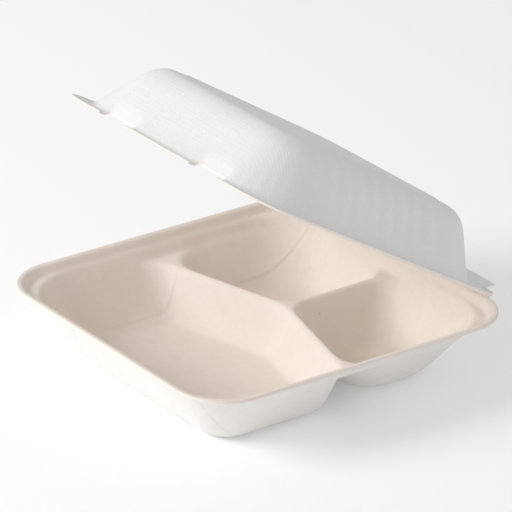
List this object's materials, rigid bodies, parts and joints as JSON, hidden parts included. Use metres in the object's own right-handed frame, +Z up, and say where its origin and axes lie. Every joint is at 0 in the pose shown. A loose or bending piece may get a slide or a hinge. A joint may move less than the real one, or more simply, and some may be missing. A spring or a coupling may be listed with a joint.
{
  "type": "pulp food box",
  "caption": "Hinged takeaway food box of moulded plant fibre, with a divided tray of a large and two small compartments and a fluted lid on a living hinge, standing part open",
  "frame": {"origin": "middle of the box's footprint on the surface it stands on, under the middle between the front rim and the fold line", "axes": "+Z up, +Y from the front edge toward the hinge, +X along the hinge to the right seen from the front; the lid stands open as in the picture"},
  "size_m": [0.229, 0.2328, 0.1799],
  "materials": {
    "pulp_tray": "matt moulded plant fibre, warm off-white, fine screen texture",
    "pulp_lid": "matt moulded plant fibre, off-white, fine screen texture"
  },
  "bodies": {
    "tray": {"tray": "pulp_tray"},
    "lid": {"lid": "pulp_lid"}
  },
  "joints": [
    {"name": "lid_hinge", "type": "hinge", "parent": "tray", "child": "lid", "pos_m": [0, 0.1162, 0.04525], "axis": [-1, 0, 0], "range_deg": [-32.7, 148]}
  ]
}
